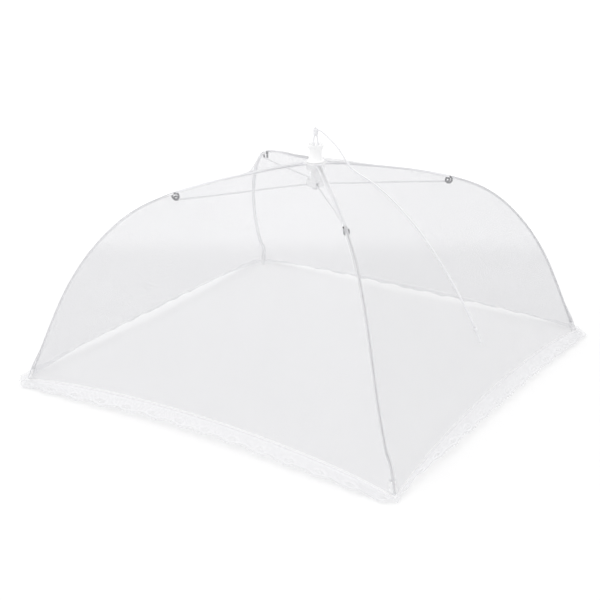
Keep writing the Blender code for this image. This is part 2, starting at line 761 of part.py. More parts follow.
def build_ribs():
    cap = tip_cap_mesh()
    sheets = (
        ("net", half_net, net_column_count, net_row_count, net),
        ("hem", half_hem, hem_column_count, hem_row_count, tape),
        ("lace", half_lace, lace_column_count, lace_row_count, lace),
    )
    for rib, degrees in RIBS.items():
        turn = math.radians(degrees)
        place = (ring_radius * math.cos(turn), ring_radius * math.sin(turn), crown_height)
        pivot = add_pivot(f"rib_{rib}_pivot", place, turn)
        add_object(f"rib_{rib}", wire_curve(f"rib_{rib}", rib_wire_points(rib), wire_radius), steel, pivot)
        add_object(f"tip_cap_{rib}", cap, white_plastic, pivot)
        cover = sheet_mesh(f"binding_{rib}", binding_column_count, net_row_count, binding(rib), net_thickness)
        add_object(f"binding_{rib}", cover, tape, pivot)
        for side, towards in ((1, NEXT[rib]), (-1, LAST[rib])):
            half = add_pivot(f"half_{rib}_to_{towards}_pivot", place, turn)
            for kind, form, columns, rows, mat in sheets:
                name = f"{kind}_{rib}_to_{towards}"
                add_object(name, sheet_mesh(name, columns, rows, form(rib, side), net_thickness), mat, half)


def build_struts():
    for rib, degrees in RIBS.items():
        turn = math.radians(degrees)
        place = (ring_radius * math.cos(turn), ring_radius * math.sin(turn), runner_height)
        wire = wire_curve(f"strut_{rib}", strut_wire_points(rib), wire_radius)
        add_object(f"strut_{rib}", wire, steel, add_pivot(f"strut_{rib}_pivot", place, turn))


def build_cord():
    """Two strands from the runner to the top knot, the tail over the net, its end knot and its loose end."""
    low = runner_foot
    high = top_knot_height - top_knot_tallness
    for name, sign in (("cord_strand_left", -1), ("cord_strand_right", 1)):
        route = [
            (sign * strand_spacing, 0.0, low), (sign * strand_spacing, 0.0, crown_height),
            (sign * strand_spacing, 0.0, tube_foot), (sign * strand_spread, 0.0, tube_mouth + strand_rise),
            (sign * (cord_radius + fit_gap / 2), 0.0, high),
        ]
        add_object(name, wire_curve(name, smooth_line(route, strand_points), cord_radius), cord)
    top = add_object("cord_top_knot", knot_mesh("cord_top_knot", top_knot_radius, top_knot_tallness), cord)
    top.location = (0.0, 0.0, top_knot_height)
    tail_length = line_length(smooth_line(tail_route, line_points))
    tail_points = round(tail_length / tail_step)
    swing = add_pivot("tail_pivot", top.location)
    for name, route, points in (("cord_tail", tail_route, tail_points),
                                ("cord_loose_end", loose_end_route, loose_end_points)):
        line = [p - top.location for p in smooth_line(route, points)]
        add_object(name, wire_curve(name, line, cord_radius), cord, swing)
    ball = knot_mesh("cord_end_knot", end_knot_radius, end_knot_radius)
    end = add_object("cord_end_knot", ball, cord, swing)
    end.location = (Vector(tail_route[-1]) + Vector(loose_end_route[0])) / 2 - top.location
    print("cord tail length", round(tail_length, 4))


clear_scene()
parts = new_collection("mesh_food_cover")
guides = new_collection("guides")
steel = make_material("steel_wire", (0.32, 0.33, 0.34), 0.35, 1.0)
white_plastic = make_material("white_plastic", (0.86, 0.86, 0.86), 0.4)
net = make_material("white_net", (0.84, 0.84, 0.87), 0.85)
tape = make_material("white_tape", (0.92, 0.92, 0.93), 0.8)
lace = make_material("white_lace", (0.90, 0.90, 0.91), 0.85)
cord = make_material("white_cord", (0.88, 0.88, 0.88), 0.8)
build_crown()
build_runner()
build_ribs()
build_struts()
build_cord()
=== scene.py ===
"""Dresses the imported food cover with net, tapes, lace, wires and cord, and adds floor, light and camera."""
import math

import bmesh
import bpy
from mathutils import Matrix, Vector


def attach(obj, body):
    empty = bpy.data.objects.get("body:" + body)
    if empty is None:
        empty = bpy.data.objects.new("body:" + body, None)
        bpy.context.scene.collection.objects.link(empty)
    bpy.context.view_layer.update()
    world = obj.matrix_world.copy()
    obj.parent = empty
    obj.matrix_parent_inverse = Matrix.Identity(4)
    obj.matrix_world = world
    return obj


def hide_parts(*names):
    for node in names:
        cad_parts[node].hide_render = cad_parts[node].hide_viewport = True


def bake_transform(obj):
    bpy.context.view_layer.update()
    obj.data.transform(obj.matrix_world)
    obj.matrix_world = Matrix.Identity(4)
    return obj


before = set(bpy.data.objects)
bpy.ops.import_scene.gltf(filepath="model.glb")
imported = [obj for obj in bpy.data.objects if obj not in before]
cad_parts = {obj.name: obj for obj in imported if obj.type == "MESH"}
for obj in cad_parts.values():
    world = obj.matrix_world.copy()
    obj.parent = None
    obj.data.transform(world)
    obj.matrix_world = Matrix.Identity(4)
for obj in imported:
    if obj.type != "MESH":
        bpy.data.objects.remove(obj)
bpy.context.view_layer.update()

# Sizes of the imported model, in metres
base_side = 0.400
crown_height = 0.1990
wire_radius = 0.0009
ring_radius = 0.0072
eye_radius = 0.0017
eye_turn = math.radians(235)
joint_loop_radius = 0.0030
joint_loop_pitch = 0.00225
joint_loop_run = 0.016
rib_tip_height = 0.0032
rib_tip_lean_share = 1 / 3
rib_line_shares = (
    (0.083, 1.000), (0.192, 0.980), (0.301, 0.9575), (0.392, 0.932), (0.463, 0.907), (0.519, 0.882),
    (0.584, 0.845), (0.649, 0.790), (0.709, 0.719), (0.765, 0.635), (0.816, 0.540), (0.858, 0.443),
    (0.895, 0.340), (0.930, 0.2325), (0.965, 0.119),
)
joint_share = 0.463
rib_bows = {"front": -0.0078, "right": 0.0, "back": 0.0230, "left": 0.0}
bow_peak_shares = {"front": 0.68, "right": 0.50, "back": 0.50, "left": 0.50}
bow_inner_powers = {"front": 1.6, "right": 2.2, "back": 2.2, "left": 2.2}
bow_outer_power = 2.4
bow_start_share = 0.015
bow_start_run_share = 0.09
bow_end_share = 0.965
bow_end_run_share = 0.06
fit_gap = 0.0003
strut_level_run = 0.036
strut_hub_run = 0.020
strut_end_run = 0.008
runner_height = 0.1830
patch_radius = 0.0105
patch_top = 0.2030
tube_mouth = 0.2205
cap_radius = 0.0017
cap_cloth_gap = 0.0003
cap_swell_start = 0.90  # share of the rib's length at which its net begins to make room for the tip cap
cap_swell_run = 0.07
seam_corner_height = 0.0030
middle_line_shares = (
    (0.110, 1.011), (0.175, 0.9985), (0.300, 0.957), (0.415, 0.886), (0.500, 0.818), (0.585, 0.733),
    (0.665, 0.639), (0.730, 0.554), (0.790, 0.464), (0.840, 0.381), (0.890, 0.286), (0.935, 0.191),
)
seam_middle_bow = 0.0020
seam_middle_height = 0.0162
hem_width = 0.0024
hem_rise = 0.0032  # of the near hems' upper edge above the seam, away from the corners
hem_rise_power = 6
trim_width = 0.0168
trim_rib_height = 0.0010
trim_middle_height = 0.0045
trim_droop_power = 1.35
trim_corner_cut = 0.0100
trim_corner_share = 0.10
cord_radius = 0.0008
top_knot_height = 0.2325
tail_route = (
    (0.0024, 0.0000, 0.2338), (0.0052, 0.0000, 0.2340), (0.0088, 0.0001, 0.2318),
    (0.0132, 0.0002, 0.2288), (0.0176, 0.0003, 0.2255), (0.0218, 0.0003, 0.2222),
    (0.0256, 0.0002, 0.2186), (0.0292, 0.0000, 0.2145), (0.0330, -0.0003, 0.2099),
    (0.0374, -0.0005, 0.2052), (0.0430, -0.0006, 0.2010), (0.0520, -0.0004, 0.1968),
    (0.0620, 0.0000, 0.1924), (0.0740, 0.0004, 0.1853), (0.0856, 0.0006, 0.1770),
    (0.1020, 0.0004, 0.1638), (0.1190, 0.0000, 0.1475), (0.1350, -0.0004, 0.1290),
    (0.1484, -0.0005, 0.1115), (0.1600, -0.0003, 0.0938), (0.1702, 0.0000, 0.0774),
    (0.1733, 0.0000, 0.0717),
)
loose_end_route = (
    (0.1754, 0.0000, 0.0674), (0.1769, 0.0002, 0.0640), (0.1784, 0.0004, 0.0606), (0.1798, 0.0004, 0.0570),
)
end_knot_place = Vector((0.17435, 0.0, 0.06955))

# Points and faces of the lines and meshes
line_points = 160
eye_points = 30
inner_points = 50
outer_points = 90
loop_points = 48
strut_steps = 60
wire_sides = 14
stitch_sides = 6
cord_points = 460
loose_end_points = 24
strand_points = 100
net_faces = (26, 52)
hem_faces = (160, 4)
lace_faces = (150, 12)
tape_faces = (8, 150)
pocket_faces = (28, 20)
patch_faces = (8, 96)

# Sizes of the net and the tapes as they look
net_pitch = 0.00075  # from one thread to the next
net_thread_share = 0.20  # of the pitch, that a thread takes
net_over_wire = 0.0004
net_turn_start = (0.0006, -0.0040, 0.2009)  # in a rib's frame, where its half net starts to turn
net_turn_end = (-0.0065, 0.1718, 0.1903)  # and where it turns as far as the crease does
tape_half_width = 0.0021
tape_lift = 0.0003  # above the net
tape_pitch = 0.0008
hem_pitch = 0.0006
hem_lift = 0.0003
hem_swell = 0.0005  # of the hem tape's middle over its edges
hem_pucker = 0.0002
hem_pucker_step = 0.0061
stitch_step = 0.0029
stitch_radius = 0.00022
stitch_seat_share = 0.8  # of its radius, above the tape
stitch_width_share = 0.62  # of the rib tape
stitch_start_share = 0.010  # of the net's length, from the crown
stitch_run_share = 0.985
pocket_length = 0.0115
pocket_half_width = 0.0032
pocket_wall = 0.0006  # from the tip cap to the sleeve
pocket_shift = 0.0004  # of the sleeve outwards
pocket_ripple = 0.0004
pocket_ripple_count = 3
pocket_sole = 0.0008  # how low the sleeve's end lies
pocket_drop_start = 0.75  # shares of the sleeve's length
pocket_narrow_start = 0.70
pocket_flat_start = 0.80
pocket_drop_share = 0.70
pocket_narrow_share = 0.35
pocket_flat_share = 0.25
patch_hole = 0.0034
patch_brim = 0.0006  # of the patch beyond the tube's foot
patch_ripple = 0.00022
patch_ripple_count = 16
patch_drop = 0.0002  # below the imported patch's top
patch_pattern_round = 0.066  # length of its edge

# Sizes of the lace as it looks
lace_wave_count = 7
lace_motif = base_side / 2 / lace_wave_count
eyelet_place = 0.0095  # from the lace's head
eyelet_half_length = 0.0060
eyelet_half_width = 0.0030
lace_under_hem = 0.0004
lace_ruffle = 0.0024
lace_ruffle_power = 1.2
lace_second_count = lace_wave_count * 2.37  # of the smaller waves that break up the ruffle
lace_second_start = 0.3
lace_second_height = 0.22
lace_pitch = 0.0015
lace_thread_share = 0.32
lace_reaches = {  # share of the lace's width that lies open, by share of the way from the rib to the middle
    "front_to_right": ((0.00, 1.00), (0.05, 0.34), (0.15, 0.28), (0.30, 0.48), (0.50, 0.76),
                       (0.75, 0.93), (1.00, 1.00)),
    "front_to_left": ((0.00, 1.00), (0.10, 0.88), (0.55, 0.92), (0.80, 0.84), (1.00, 0.80)),
    "left_to_front": ((0.00, 1.00), (0.45, 0.98), (0.75, 0.82), (1.00, 0.80)),
}

# Sizes of the cord as it looks
cord_lay = 0.0048  # length of one twist of its three yarns
cord_swell = 1.10
cord_groove = 0.10
cord_yarn_along = 0.0016
cord_yarn_across = 0.0017
knot_steps = 22  # points a turn
knot_packing = 0.92  # of the cord's thickness, from turn to turn
knot_tuck = 0.75  # how far the ends go in
knot_tuck_turns = 0.35
end_knot_radius = 0.0012
end_knot_turns = 2.0
top_knot_radius = 0.0017
top_knot_turns = 4.6
runner_knot_height = 0.1775
runner_knot_radius = 0.0022
runner_knot_turns = 2.2
fray_swell = 0.25  # of the loose end, over its last stretch
fray_start = 0.008
fray_run = 0.003
strand_half_gap = 0.0010
strand_low = 0.1798
strand_foot = 0.2033
strand_half_spread = 0.0023
strand_spread_height = tube_mouth + 0.0020
strand_top_half_gap = 0.00095
strand_top = top_knot_height - 0.0030

# Painted glow on the pale pieces, light let through the near hem tape, painted shade on the wires, and other
# looks
# Painted glow: the tapes, lace, plastic and cord give out a little light of their own, so that they look
# lighter than the lamps make them
near_tape_painted_glow = 0.12
far_tape_painted_glow = 0.20  # on the two panels that are seen through the net
far_tape_solid = 0.45
far_panels = ("right_to_back", "back_to_right", "back_to_left", "left_to_back")
tape_through = 0.45  # share of the near hem tape's light that comes through it
lace_painted_glow = 0.02
plastic_painted_glow = 0.10
cord_painted_glow = 0.03
# Painted shade: each rib's wire is coloured darker below its joint, by a different amount on each rib
rib_painted_shade = {"front": 0.28, "right": 0.26, "back": 0.0, "left": 0.14}  # of the wire below its joint
rib_pale = (0.97, 0.97, 0.98)
strut_pale = (0.965, 0.965, 0.975)
ring_pale = (0.85, 0.85, 0.86)
# Length of the strut's coil, which is painted near black as shade between its turns
strut_coil_length = 0.008

# Camera, floor and light
camera_azimuth = math.radians(32.7165)
camera_elevation = math.radians(21.5271)
camera_distance = 1.344565
camera_target = Vector((-0.096529, 0.122810, 0.0))
camera_lens = 70.813
floor_half_size = 6.0
floor_shade = 0.80
floor_back = (-0.5405, 0.8414, 0.0)  # away from the camera
floor_glow_ramp = (0.300, 0.390, 0.215, 0.38)  # two distances that way from the axis, and the glow at each
world_light = 0.92
world_seen = 1.0  # by the camera
key_strength = 0.45
key_spread = math.radians(50)
key_from = Vector((-0.55, -0.75, 1.35))

RIBS = {"front": -45, "right": 45, "back": 135, "left": -135}
NEXT = {"front": "right", "right": "back", "back": "left", "left": "front"}
LAST = {after: before for before, after in NEXT.items()}
half_side = base_side / 2
tip_reach = base_side / math.sqrt(2)
net_start = patch_radius + 2 * fit_gap
joint_side_step = joint_loop_pitch / 2
strut_side_step = joint_side_step + 2 * wire_radius + fit_gap
cap_clear = (cap_radius + fit_gap + cap_cloth_gap) * math.sqrt(2)


# Lines and points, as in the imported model


def smooth_line(points, count, span_points=16):
    given = [Vector(p) for p in points]
    ends = [2 * given[0] - given[1], *given, 2 * given[-1] - given[-2]]
    fine = []
    for a, b, c, d in zip(ends, ends[1:], ends[2:], ends[3:]):
        for i in range(span_points):
            t = i / span_points
            fine.append(0.5 * (2 * b + (c - a) * t + (2 * a - 5 * b + 4 * c - d) * t**2
                               + (3 * b - 3 * c + d - a) * t**3))
    fine.append(given[-1])
    return even_points(fine, count)


def even_points(line, count):
    lengths = [0.0]
    for a, b in zip(line, line[1:]):
        lengths.append(lengths[-1] + (b - a).length)
    found = []
    k = 0
    for i in range(count):
        want = lengths[-1] * i / (count - 1)
        while k < len(line) - 2 and lengths[k + 1] < want:
            k += 1
        share = (want - lengths[k]) / (lengths[k + 1] - lengths[k])
        found.append(line[k].lerp(line[k + 1], min(max(share, 0.0), 1.0)))
    return found


def line_length(line):
    return sum((b - a).length for a, b in zip(line, line[1:]))


def arc(centre, radius, start, end, count):
    found = []
    for i in range(count):
        angle = start + (end - start) * i / (count - 1)
        found.append(Vector((centre[0] + radius * math.cos(angle), centre[1] + radius * math.sin(angle))))
    return found


def eased(share):
    share = min(max(share, 0.0), 1.0)
    return share * share * (3 - 2 * share)


def rib_line():
    reach = tip_reach - ring_radius
    eye_top = (ring_radius, crown_height + eye_radius)
    middle = [(ring_radius + out * reach, up * crown_height) for out, up in rib_line_shares]
    tip = (tip_reach - rib_tip_height * rib_tip_lean_share, rib_tip_height)
    return smooth_line([eye_top, *middle, tip], line_points)


RIB_LINE = rib_line()
JOINT_INDEX = min(range(len(RIB_LINE)),
                  key=lambda i: abs(RIB_LINE[i].x - ring_radius - joint_share * (tip_reach - ring_radius)))
JOINT_LENGTH_SHARE = JOINT_INDEX / (len(RIB_LINE) - 1)


def joint_loop_centre():
    along = (RIB_LINE[JOINT_INDEX + 1] - RIB_LINE[JOINT_INDEX - 1]).normalized()
    return RIB_LINE[JOINT_INDEX] + Vector((along.y, -along.x)) * joint_loop_radius


def flat(point, sideways):
    """A point of the rib's own plane, with its distance beside it."""
    return Vector((point.x, sideways, point.y))


def bow_at(rib, share):
    """How far a rib lies beside its diagonal plane at a share of its length from the crown."""
    peak = bow_peak_shares[rib]
    if share < peak:
        bow = 1 - (1 - share / peak) ** bow_inner_powers[rib]
    else:
        bow = 1 - ((share - peak) / (bow_end_share - peak)) ** bow_outer_power
    start = eased((share - bow_start_share) / bow_start_run_share)
    end = eased((bow_end_share - share) / bow_end_run_share)
    return rib_bows[rib] * bow * start * end


def rib_wire_points(rib):
    eye = arc((ring_radius, crown_height), eye_radius, math.pi / 2 + eye_turn, math.pi / 2, eye_points)
    points = [flat(p, 0.0) for p in eye[:-1]]
    inner = even_points(RIB_LINE[: JOINT_INDEX + 1], inner_points)
    outer = even_points(RIB_LINE[JOINT_INDEX:], outer_points)
    inner_length = line_length(inner)
    for i, p in enumerate(inner[:-1]):
        share = i / (inner_points - 1)
        side = -joint_side_step * eased(1 - inner_length * (1 - share) / joint_loop_run)
        points.append(flat(p, side + bow_at(rib, share * JOINT_LENGTH_SHARE)))
    centre = joint_loop_centre()
    first = RIB_LINE[JOINT_INDEX] - centre
    start = math.atan2(first.y, first.x)
    for i, p in enumerate(arc(centre, joint_loop_radius, start, start - 2 * math.pi, loop_points)):
        side = joint_side_step * (2 * i / (loop_points - 1) - 1)
        points.append(flat(p, side + bow_at(rib, JOINT_LENGTH_SHARE)))
    outer_length = line_length(outer)
    for i, p in enumerate(outer[1:], start=1):
        share = i / (outer_points - 1)
        side = joint_side_step * eased(1 - outer_length * share / joint_loop_run)
        points.append(flat(p, side + bow_at(rib, JOINT_LENGTH_SHARE + (1 - JOINT_LENGTH_SHARE) * share)))
    return points


def strut_wire_points(rib):
    pivot = Vector((ring_radius, runner_height))
    joint = joint_loop_centre() - Vector((0.0, joint_loop_radius - 2 * wire_radius - fit_gap))
    along = (joint - pivot).normalized()
    under = math.atan2(along.y, along.x) - math.pi / 2
    drop = Vector((math.cos(under), math.sin(under))) * eye_radius
    points = [flat(p, 0.0) for p in arc(pivot, eye_radius, under - eye_turn, under, eye_points)[:-1]]
    length = (joint - pivot).length
    joint_bow = bow_at(rib, JOINT_LENGTH_SHARE)
    for i in range(strut_steps + 1):
        gone = length * i / strut_steps
        side = strut_side_step * eased((gone - strut_hub_run) / (length - strut_hub_run - strut_level_run))
        leaning = (gone - strut_hub_run) / (length - strut_hub_run - strut_end_run)
        points.append(flat(pivot + along * gone + drop, side + joint_bow * min(max(leaning, 0.0), 1.0)))
    for p in arc(joint, eye_radius, under, under + eye_turn, eye_points)[1:]:
        points.append(flat(p, strut_side_step + joint_bow))
    return points


def middle_line():
    points = [(out * half_side, up * crown_height) for out, up in middle_line_shares]
    seam = (half_side - seam_middle_bow, seam_middle_height)
    return smooth_line([(net_start, patch_top), *points, seam], line_points)


def net_edge_line():
    """The net's line over the rib, close on the wire, with a pocket for the tip cap."""
    moved = []
    for i, p in enumerate(RIB_LINE):
        a = RIB_LINE[max(i - 1, 0)]
        b = RIB_LINE[min(i + 1, len(RIB_LINE) - 1)]
        along = (b - a).normalized()
        swell = eased((i / (len(RIB_LINE) - 1) - cap_swell_start) / cap_swell_run)
        over = wire_radius + net_over_wire
        over += (cap_clear - over) * swell
        moved.append(p + Vector((-along.y, along.x)) * over)
    inside = [p for p in moved if p.x > net_start and p.y > seam_corner_height]
    along = inside[-1] - inside[-2]
    seam = inside[-1] + along * ((seam_corner_height - inside[-1].y) / along.y)
    return even_points([Vector((net_start, patch_top)), *inside, seam], line_points)


MIDDLE_LINE = middle_line()
NET_EDGE_LINE = net_edge_line()


def at_share(line, share):
    place = min(max(share, 0.0), 1.0) * (len(line) - 1)
    k = min(int(place), len(line) - 2)
    return line[k].lerp(line[k + 1], place - k)


def panel_to_rib(out, lateral, height, side):
    half_turn = math.sqrt(0.5)
    return Vector(((out + lateral) * half_turn, side * (out - lateral) * half_turn, height))


def net_point(along, across, side):
    edge = at_share(NET_EDGE_LINE, along)
    middle = at_share(MIDDLE_LINE, along)
    edge_out = edge.x * math.sqrt(0.5)
    fall = (1 - across) ** 2
    out = middle.x + (edge_out - middle.x) * fall
    height = middle.y + (edge.y - middle.y) * fall
    return panel_to_rib(out, edge_out * (1 - across), height, side)


def nearest_length_share(point):
    last = len(RIB_LINE) - 1
    k = min(range(1, last), key=lambda i: (RIB_LINE[i] - point).length)
    step = (RIB_LINE[k + 1] - RIB_LINE[k - 1]) / 2
    return (k + (point - RIB_LINE[k]).dot(step) / step.length_squared) / last


def bowed_net_point(rib, along, across, side):
    """A point of the net, moved with its rib's sideways bow and less the further it is from the rib."""
    bow = bow_at(rib, nearest_length_share(at_share(NET_EDGE_LINE, along)))
    return net_point(along, across, side) + Vector((0.0, bow * (1 - across), 0.0))


def trim_point(down, across, side, lift=0.0):
    """The trim at a share from the seam to the outer edge and a share from the rib to the middle."""
    seam = net_point(1.0, across, 1)
    seam_out = (seam.x + seam.y) * math.sqrt(0.5)
    seam_lateral = (seam.x - seam.y) * math.sqrt(0.5)
    edge_height = trim_middle_height + (trim_rib_height - trim_middle_height) * (1 - across) ** 2
    reach = seam_out + math.sqrt(trim_width**2 - (seam.z - edge_height) ** 2)
    reach -= trim_corner_cut * (1 - eased(across / trim_corner_share))
    out = seam_out + (reach - seam_out) * down
    lateral = seam_lateral + (reach * (1 - across) - seam_lateral) * down
    height = edge_height + (seam.z - edge_height) * (1 - down) ** trim_droop_power + lift
    return panel_to_rib(out, lateral, height, side)


def trim_length(across):
    """The trim's own width, straight from the seam to its outer edge."""
    return (trim_point(1.0, across, 1) - trim_point(0.0, across, 1)).length


def to_row(rib, point):
    """A point of a rib's frame, in the frame of the whole object."""
    return Matrix.Rotation(math.radians(RIBS[rib]), 3, "Z") @ Vector(point)


# Pieces


looks = bpy.data.collections.new("looks")
bpy.context.scene.collection.children.link(looks)


def add(name, data, mat, slot=None):
    obj = bpy.data.objects.new(name, data)
    looks.objects.link(obj)
    data.materials.clear()
    data.materials.append(mat)
    return obj


def grid_mesh(name, faces_each_way, place, uv):
    """A sheet with place(across, along) and its flat pattern uv(across, along)."""
    columns, rows = faces_each_way
    mesh = bpy.data.meshes.new(name)
    points = [place(c / columns, r / rows) for r in range(rows + 1) for c in range(columns + 1)]
    spread = [uv(c / columns, r / rows) for r in range(rows + 1) for c in range(columns + 1)]
    faces = []
    for r in range(rows):
        for c in range(columns):
            k = r * (columns + 1) + c
            faces.append((k, k + 1, k + columns + 2, k + columns + 1))
    mesh.from_pydata(points, [], faces)
    layer = mesh.uv_layers.new(name="flat")
    for loop in mesh.loops:
        layer.data[loop.index].uv = spread[loop.vertex_index]
    mesh.shade_smooth()
    return mesh


def tube_mesh(name, line, radius, sides=12, shape=None):
    """A tube along a line, patterned round by along in metres. shape(turn, gone) scales its radius."""
    mesh = bpy.data.meshes.new(name)
    points, spread, faces = [], [], []
    count = len(line)
    across = None
    gone = 0.0
    for i, p in enumerate(line):
        along = (line[min(i + 1, count - 1)] - line[max(i - 1, 0)]).normalized()
        if across is None:
            across = along.orthogonal().normalized()
        across = (across - along * across.dot(along)).normalized()
        over = along.cross(across)
        if i:
            gone += (p - line[i - 1]).length
        for k in range(sides):
            turn = 2 * math.pi * k / sides
            size = radius * (shape(turn, gone) if shape else 1.0)
            points.append(p + (across * math.cos(turn) + over * math.sin(turn)) * size)
            spread.append((radius * turn, gone))
    for i in range(count - 1):
        a, b = i * sides, (i + 1) * sides
        for k in range(sides):
            n = (k + 1) % sides
            faces.append((a + k, a + n, b + n, b + k))
    for end, first in ((line[0], 0), (line[-1], (count - 1) * sides)):
        points.append(Vector(end))
        spread.append((0.0, 0.0))
        tip = len(points) - 1
        for k in range(sides):
            pair = (first + k, first + (k + 1) % sides)
            faces.append((tip, *(pair if first else pair[::-1])))
    mesh.from_pydata([tuple(p) for p in points], [], faces)
    layer = mesh.uv_layers.new(name="flat")
    for face in mesh.polygons:
        high = max(spread[v][0] for v in face.vertices) > radius * math.pi * 1.5
        for loop in face.loop_indices:
            u, v = spread[mesh.loops[loop].vertex_index]
            layer.data[loop].uv = (u + (2 * math.pi * radius if high and u < radius else 0.0), v)
    mesh.shade_smooth()
    return mesh


def laid(turn, gone):
    """The outline of a cord twisted from three yarns."""
    return cord_swell + cord_groove * math.cos(3 * (turn - 2 * math.pi * gone / cord_lay))


# Materials


RANGE_SOCKETS = ("From Min", "From Max", "To Min", "To Max")


class Tree:
    """Short names for the nodes of one procedural material."""

    def __init__(self, name, colour, roughness, metallic=0.0, sheen=0.0, glow=0.0):
        self.mat = bpy.data.materials.new(name)
        self.mat.use_nodes = True
        self.nodes = self.mat.node_tree.nodes
        self.links = self.mat.node_tree.links
        self.shader = self.nodes["Principled BSDF"]
        self.put("Base Color", (*colour, 1.0))
        self.put("Roughness", roughness)
        self.put("Metallic", metallic)
        self.put("Sheen Weight", sheen)
        self.put("Emission Color", (1.0, 1.0, 1.0, 1.0))
        self.put("Emission Strength", glow)

    def put(self, socket, value):
        if isinstance(value, bpy.types.NodeSocket):
            self.links.new(value, self.shader.inputs[socket])
        else:
            self.shader.inputs[socket].default_value = value

    def math(self, kind, a, b=0.0, clamp=False):
        node = self.nodes.new("ShaderNodeMath")
        node.operation = kind
        node.use_clamp = clamp
        for socket, value in zip(node.inputs, (a, b)):
            if isinstance(value, bpy.types.NodeSocket):
                self.links.new(value, socket)
            else:
                socket.default_value = value
        return node.outputs[0]

    def ranged(self, value, low, high, to_low=0.0, to_high=1.0, smooth=True):
        node = self.nodes.new("ShaderNodeMapRange")
        if smooth:
            node.interpolation_type = "SMOOTHSTEP"
        self.links.new(value, node.inputs["Value"])
        for socket, number in zip(RANGE_SOCKETS, (low, high, to_low, to_high)):
            node.inputs[socket].default_value = number
        return node.outputs["Result"]

    def flat_pattern(self):
        """The sheet's flat pattern: across and along, in metres."""
        node = self.nodes.new("ShaderNodeUVMap")
        node.uv_map = "flat"
        parts = self.nodes.new("ShaderNodeSeparateXYZ")
        self.links.new(node.outputs["UV"], parts.inputs[0])
        return parts.outputs["X"], parts.outputs["Y"], node.outputs["UV"]

    def noise(self, scale, detail, vector=None):
        """Noise over the flat pattern given, or else through the object's space."""
        node = self.nodes.new("ShaderNodeTexNoise")
        node.inputs["Scale"].default_value = scale
        node.inputs["Detail"].default_value = detail
        vector = vector or self.nodes.new("ShaderNodeTexCoord").outputs["Object"]
        self.links.new(vector, node.inputs["Vector"])
        return node.outputs["Fac"]

    def blend_of(self, a, a_share, b, b_share):
        return self.math("ADD", self.math("MULTIPLY", a, a_share), self.math("MULTIPLY", b, b_share))

    def mixed(self, share, a, b):
        node = self.nodes.new("ShaderNodeMix")
        node.data_type = "RGBA"
        self.links.new(share, node.inputs["Factor"])
        node.inputs["A"].default_value = (*a, 1.0)
        node.inputs["B"].default_value = (*b, 1.0)
        return node.outputs["Result"]

    def mottle(self, noise, dark, pale, low=0.3, high=0.7):
        """Lets the colour go from dark to pale with the noise."""
        self.put("Base Color", self.mixed(self.ranged(noise, low, high), dark, pale))

    def bump(self, height, distance, strength):
        node = self.nodes.new("ShaderNodeBump")
        node.inputs["Distance"].default_value = distance
        node.inputs["Strength"].default_value = strength
        self.links.new(height, node.inputs["Height"])
        self.put("Normal", node.outputs["Normal"])


def thread(tree, place, pitch, share):
    """1 on threads pitch apart, and 0 between them; share is how much of the pitch a thread takes."""
    wave = tree.math("PINGPONG", tree.math("DIVIDE", place, pitch), 0.5)
    return tree.ranged(wave, share / 2 - 0.06, share / 2 + 0.06, 1.0, 0.0)


def net_material():
    """Sheer net: threads a pitch apart with open holes between them, a little uneven over the panel."""
    tree = Tree("white_net", (0.77, 0.77, 0.80), 0.62)
    across, along, flat_place = tree.flat_pattern()
    weft = thread(tree, across, net_pitch, net_thread_share)
    warp = thread(tree, along, net_pitch, net_thread_share)
    threads = tree.math("MAXIMUM", weft, warp)
    uneven = tree.noise(12.0, 2.0, flat_place)
    tree.mottle(uneven, (0.805, 0.805, 0.835), (0.83, 0.83, 0.86))
    solid = tree.ranged(uneven, 0.25, 0.75, 0.74, 0.78)
    haze = 0.09  # of the fine fibres over the holes
    tree.put("Alpha", tree.math("ADD", tree.math("MULTIPLY", threads, solid), haze))
    tree.put("Roughness", tree.ranged(tree.noise(900.0, 2.0, flat_place), 0.3, 0.7, 0.52, 0.70))
    tree.bump(tree.math("ADD", weft, warp), 0.00015, 0.5)
    return tree.mat


def woven(tree, colour, pitch):
    """A woven tape's colour, roughness and bump. Gives its threads, from 0 between them to 1 on them."""
    across, along, flat_place = tree.flat_pattern()
    weft = thread(tree, across, pitch, 0.62)
    warp = thread(tree, along, pitch * 1.4, 0.5)
    weave = tree.math("MAXIMUM", weft, tree.math("MULTIPLY", warp, 0.8))
    shade = tree.noise(140.0, 3.0, flat_place)
    tree.mottle(shade, tuple(c * 0.96 for c in colour), colour)
    tree.put("Roughness", tree.ranged(shade, 0.2, 0.8, 0.62, 0.80))
    tree.bump(weave, 0.00012, 0.6)
    return weave


def hem_tape_material(name, glow, solid=1.0):
    """White woven tape, with a painted glow, that lets some light through, or an open one where solid is less
    than 1.
    """
    colour = (0.98, 0.98, 0.983)
    tree = Tree(name, colour, 0.7, sheen=0.25, glow=glow)
    weave = woven(tree, colour, hem_pitch)
    if solid < 1.0:
        tree.put("Alpha", tree.ranged(weave, 0.0, 1.0, solid - 0.15, solid + 0.15, smooth=False))
        return tree.mat
    through = tree.nodes.new("ShaderNodeBsdfTranslucent")
    through.inputs["Color"].default_value = (*colour, 1.0)
    both = tree.nodes.new("ShaderNodeMixShader")
    both.inputs["Fac"].default_value = tape_through
    tree.links.new(tree.shader.outputs[0], both.inputs[1])
    tree.links.new(through.outputs[0], both.inputs[2])
    tree.links.new(both.outputs[0], tree.nodes["Material Output"].inputs["Surface"])
    return tree.mat


